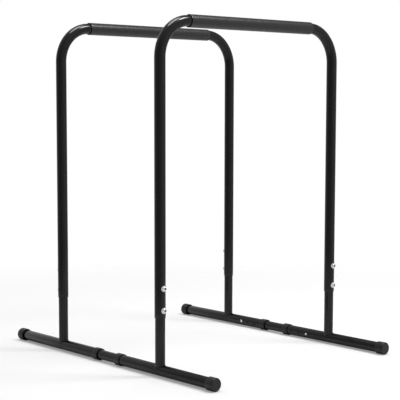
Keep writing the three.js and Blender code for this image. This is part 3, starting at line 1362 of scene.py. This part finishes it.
@dataclass
class Fasteners:
    """The bolts through the legs, with their bent washers and nuts."""

    plan: Plan
    head_radius: float = 0.007
    head_height: float = 0.0044
    head_sides: int = 60
    rim_height: float = 0.001
    face_radius: float = 0.0041
    shank_radius: float = 0.004
    shank_chamfer: float = 0.0006
    socket_radius: float = 0.0035
    socket_depth: float = 0.0032
    socket_lip: float = 0.0001
    washer_rings: int = 6
    washer_round_share: float = 1 / 6
    round_sides: int = 72
    nut_clearance: float = 0.0003
    nut_countersink: float = 0.0005
    nut_chamfer_degrees: float = 30.0
    nut_overrun: float = 0.0006

    def bolt(self, tip: float, top: float) -> bpy.types.Object:
        """A bolt along X with a domed head and a hexagon socket.

        Args:
            tip: how far its tip is from the upright's centre line.
            top: how far its head reaches.

        Returns:
            The bolt, along the X axis.
        """
        seat = top - self.head_height
        chamfer, radius = self.shank_chamfer, self.shank_radius
        crown = (self.head_radius - self.face_radius, self.head_height - self.rim_height)
        profile = [(radius - chamfer, tip), (radius, tip + chamfer), (radius, seat)]
        profile.append((self.head_radius - chamfer / 2, seat))
        profile.append((self.head_radius, seat + chamfer / 2))
        profile += arc((self.face_radius, seat + self.rim_height), crown, 0, QUARTER_TURN, DOME_STEPS)
        bolt = turned("bolt_source", profile, self.head_sides, Ends.CAPPED)
        middle = Vector((0, 0, top))
        cut(bolt, rod(self.socket_radius, 2 * self.socket_depth, middle, NO_TURN, HEXAGON_SIDES))
        # The socket's floor and walls, under the head's crown, get painted shade: near black instead of
        # the plating.
        for face in bolt.data.polygons:
            below_crown = seat < face.center.z < top - self.socket_lip
            face.material_index = int(below_crown and face.center.xy.length < self.socket_radius)
        shade_smooth(bolt)
        return placed(bolt, TO_X)

    def washer(self, inside: float, outside: float, radius: float) -> bpy.types.Object:
        """A washer bent round the leg.

        Args:
            inside: the radius of its hollow side about the leg's centre line.
            outside: the radius of its outer side.
            radius: the washer's own radius.

        Returns:
            The washer, with its hole along the X axis.
        """
        hole = self.plan.bolt_hole_radius
        step = (radius - hole) / self.washer_rings
        profile = [(hole + index * step, outside) for index in range(self.washer_rings + 1)]
        washer = placed(turned("washer_source", profile, self.round_sides, Ends.OPEN), TO_X)
        for vertex in washer.data.vertices:
            vertex.co.x = math.sqrt(outside**2 - vertex.co.y**2)
        face_outwards(washer)
        # The sheet faces away from the leg, so that it grows thicker towards the leg.
        if washer.data.polygons[0].normal.x < 0:
            with editing(washer):
                bpy.ops.mesh.select_all(action="SELECT")
                bpy.ops.mesh.flip_normals()
        thickness = outside - inside
        thicken(washer, thickness, Grow.INWARDS, even=False)
        round_edges(washer, thickness * self.washer_round_share, EDGE_DEGREES)
        shade_smooth(washer)
        return washer

    def nut(self, back: float, front: float, across_flats: float) -> bpy.types.Object:
        """A hexagon nut along X with chamfered corners and a countersunk bore.

        Args:
            back: how far its inner face is from the upright's centre line.
            front: how far its outer face is from there.
            across_flats: its width between opposite flats.

        Returns:
            The nut, with its corners up and down.
        """
        flat = across_flats / 2
        corner = flat / math.cos(math.pi / HEXAGON_SIDES)
        reach = corner + self.nut_overrun
        drop = (reach - flat) * math.tan(math.radians(self.nut_chamfer_degrees))
        sink = self.nut_countersink
        bore = self.shank_radius + self.nut_clearance
        profile = [(bore + sink, back), (flat, back), (reach, back + drop)]
        profile += [(reach, front - drop), (flat, front), (bore + sink, front)]
        profile += [(bore, front - sink), (bore, back + sink)]
        nut = turned("nut_source", profile, self.round_sides, Ends.WELDED)
        middle, height = Vector((0, 0, (back + front) / 2)), front - back
        corners_up = Matrix.Rotation(QUARTER_TURN, 4, "Z")
        cut(nut, rod(corner, 2 * height, middle, corners_up, HEXAGON_SIDES), Cut.KEEP_COMMON)
        shade_smooth(nut)
        return placed(nut, TO_X)

    def build(self, finishes: Finishes) -> None:
        """Makes the eight bolts, washers and nuts.

        Args:
            finishes: the part's finishes.
        """
        plan = self.plan
        low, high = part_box(MODEL_CORNER.name("lower_bolt"))
        bolt = self.bolt(low.x - plan.bar_x, high.x - plan.bar_x)
        head_seat = high.x - plan.bar_x - self.head_height
        low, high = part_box(MODEL_CORNER.name("lower_washer"))
        outside = high.x - plan.bar_x
        # The washer is as far off the leg as the bolt's head is off the washer.
        gap = head_seat - outside
        washer = self.washer(plan.outer_radius + gap, outside, (high.z - low.z) / 2)
        low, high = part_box(MODEL_CORNER.name("lower_nut"))
        nut = self.nut(low.x - plan.bar_x, high.x - plan.bar_x, high.y - low.y)
        kinds = (
            (bolt, "dome_bolt", "bolt", Slot.BRIGHT_STEEL),
            (washer, "bent_washer", "washer", Slot.BRIGHT_STEEL),
            (nut, "hex_nut", "nut", Slot.SPRING_STEEL),
        )
        for corner in CORNERS:
            for level in Level:
                low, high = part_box(corner.name(f"{level.value}_washer"))
                place = plan.upright_place(corner, (low.z + high.z) / 2)
                for source, word, node, slot in kinds:
                    piece = copied(source, corner.name(f"{level.value}_{word}"), place)
                    finishes.dress(piece, slot, corner.side.body, corner.name(f"{level.value}_{node}"))
        discard(bolt, washer, nut)


def direction(bearing: float, elevation: float) -> Vector:
    """The direction with a bearing and a height above level.

    Args:
        bearing: degrees from +X towards +Y.
        elevation: degrees above level.

    Returns:
        The direction, one metre long.
    """
    around, above = math.radians(bearing), math.radians(elevation)
    level = math.cos(above)
    return Vector((level * math.cos(around), level * math.sin(around), math.sin(above)))


def looking(ahead: Vector, place: Vector) -> Matrix:
    """The turn and place of a light or camera that looks ahead from where it is."""
    return Matrix.Translation(place) @ ahead.to_track_quat("-Z", "Y").to_matrix().to_4x4()


@dataclass(frozen=True)
class SoftLight:
    """A soft light that faces the object, placed by the direction that it comes from."""

    name: str
    bearing: float
    elevation: float
    spread: Pair
    brightness: float
    round_shape: bool = False
    distance: float = 4.0
    aim: tuple[float, float, float] = (0.0, 0.0, 0.4)

    def build(self) -> None:
        """Hangs the light: its size and power follow its spread in degrees and its brightness."""
        halves = [math.radians(angle / 2) for angle in self.spread]
        width, height = (2 * self.distance * math.tan(half) for half in halves)
        data = bpy.data.lights.new(self.name, "AREA")
        data.shape = "ELLIPSE" if self.round_shape else "RECTANGLE"
        data.size, data.size_y = width, height
        area = width * height * (math.pi / 4 if self.round_shape else 1)
        data.energy = self.brightness * math.pi * area
        light = bpy.data.objects.new(self.name, data)
        source = direction(self.bearing, self.elevation)
        light.matrix_world = looking(-source, Vector(self.aim) + self.distance * source)
        bpy.context.scene.collection.objects.link(light)


@dataclass
class Studio:
    """Camera, floor and soft lights."""

    camera_place: tuple[float, float, float] = (2.6787, -2.4191, 0.7622)
    camera_bearing: float = 138.994
    camera_pitch: float = 5.383
    camera_reach: float = 100.0
    lens_mm: float = 104.315
    sensor_mm: float = 36.0
    shift: Pair = (0.0587, 0.0345)
    floor_radius: float = 14.0
    floor_sides: int = 96
    floor_grey: float = 0.63
    floor_glow: float = 0.23
    floor_roughness: float = 0.9
    floor_gloss_level: float = 0.1
    pool_radius: float = 0.8
    white_radius: float = 2.2
    light_map_width: int = 256
    bright_bearing: float = 105.0
    surround: tuple[Pair, ...] = ((0.0, 0.25), (0.5, 0.67), (0.8, 0.62), (0.95, 0.4))
    flag_place: Pair = (112.0, 32.0)
    flag: tuple[Pair, ...] = ((0.91, 1.0), (0.97, 0.4))
    lights: tuple[SoftLight, ...] = (
        SoftLight("overhead", 0, 90, (30, 30), 7.7, round_shape=True),
        SoftLight("key", 40, 60, (13, 13), 26),
    )

    def camera(self) -> None:
        """The camera at the viewing angle of the photograph."""
        data = bpy.data.cameras.new("camera")
        data.lens = self.lens_mm
        data.sensor_width = self.sensor_mm
        data.shift_x, data.shift_y = self.shift
        data.clip_end = self.camera_reach
        camera = bpy.data.objects.new("camera", data)
        ahead = direction(self.camera_bearing, -self.camera_pitch)
        camera.matrix_world = looking(ahead, Vector(self.camera_place))
        bpy.context.scene.collection.objects.link(camera)
        bpy.context.scene.camera = camera

    def floor(self) -> None:
        """A plain pale floor that fades out into the white surround."""
        floor = ring("floor", self.floor_radius, self.floor_sides, 0, True)
        shading = Shading("pale_floor")
        tree = shading.tree
        seen = add_node(tree, "ShaderNodeLightPath", {}).outputs["Is Camera Ray"]
        glow = add_node(tree, "ShaderNodeMath", {0: seen, 1: self.floor_glow}, operation="MULTIPLY")
        shading.set(
            Base_Color=(self.floor_grey, self.floor_grey, self.floor_grey, 1),
            Roughness=self.floor_roughness,
            Specular_IOR_Level=self.floor_gloss_level,
            Emission_Color=WHITE,
            Emission_Strength=glow.outputs["Value"],
        )
        distance = add_node(tree, "ShaderNodeVectorMath", {0: shading.place}, operation="LENGTH")
        inputs = {
            "Value": distance.outputs["Value"],
            "From Min": self.pool_radius,
            "From Max": self.white_radius,
        }
        fade = add_node(tree, "ShaderNodeMapRange", inputs, interpolation_type="SMOOTHERSTEP")
        clear = add_node(tree, "ShaderNodeBsdfTransparent", {})
        inputs = {0: fade.outputs["Result"], 1: shading.shader.outputs["BSDF"], 2: clear.outputs["BSDF"]}
        mix = add_node(tree, "ShaderNodeMixShader", inputs)
        fill_inputs(tree.nodes["Material Output"], {"Surface": mix.outputs["Shader"]})
        floor.data.materials.append(shading.material)

    def grey_ramp(self, tree: bpy.types.NodeTree, greys: Sequence[Pair], axis: Vector) -> Socket:
        """Greys that change from one side of the surround to the other.

        Args:
            tree: the surround's nodes.
            greys: pairs of a place, from 0 against the axis to 1 along it, and the grey there.
            axis: the direction that the places are measured along.

        Returns:
            The grey.
        """
        ray = add_node(tree, "ShaderNodeTexCoord", {}).outputs["Generated"]
        facing = add_node(tree, "ShaderNodeVectorMath", {0: ray, 1: axis}, operation="DOT_PRODUCT")
        share = add_node(
            tree, "ShaderNodeMapRange", {"Value": facing.outputs["Value"], "From Min": -1}
        )
        ramp = add_node(tree, "ShaderNodeValToRGB", {"Fac": share.outputs["Result"]})
        stops = ramp.color_ramp.elements
        stops.remove(stops[1])
        for index, (place, level) in enumerate(greys):
            stop = stops.new(place) if index else stops[0]
            stop.position = place
            stop.color = (level, level, level, 1)
        return ramp.outputs["Color"]

    def backdrop(self) -> None:
        """A surround that is white behind the object, and brighter at its back than at its front."""
        world = bpy.data.worlds.new("surround")
        bpy.context.scene.world = world
        world.use_nodes = True
        world.cycles.sampling_method = "MANUAL"
        world.cycles.sample_map_resolution = self.light_map_width
        tree = world.node_tree
        paths = add_node(tree, "ShaderNodeLightPath", {})
        inputs = {
            "Factor": paths.outputs["Is Glossy Ray"],
            "A": self.grey_ramp(tree, self.surround, direction(self.bright_bearing, 0)),
            "B": self.grey_ramp(tree, self.flag, direction(*self.flag_place)),
        }
        dimmed = add_node(tree, "ShaderNodeMix", inputs, data_type="RGBA", blend_type="MULTIPLY")
        mirrored = add_node(tree, "ShaderNodeBackground", {"Color": dimmed.outputs["Result"]})
        seen = tree.nodes["Background"]
        fill_inputs(seen, {"Color": WHITE})
        inputs = {
            0: paths.outputs["Is Camera Ray"],
            1: mirrored.outputs["Background"],
            2: seen.outputs["Background"],
        }
        mix = add_node(tree, "ShaderNodeMixShader", inputs)
        fill_inputs(tree.nodes["World Output"], {"Surface": mix.outputs["Shader"]})

    def build(self) -> None:
        """Sets up the studio."""
        self.camera()
        self.floor()
        for light in self.lights:
            light.build()
        self.backdrop()
        bpy.context.scene.view_settings.view_transform = "Standard"


def main() -> None:
    """Builds the studio and every sub-assembly, in order."""
    logging.basicConfig(level=logging.INFO, format="%(name)s: %(message)s")
    Studio().build()
    plan = Plan.from_frame()
    finishes = Finishes()
    for sub_assembly in (BentBars, FoamGrips, Uprights, Feet, Connectors, ButtonSprings, Fasteners):
        sub_assembly(plan).build(finishes)


if __name__ == "__main__":
    main()
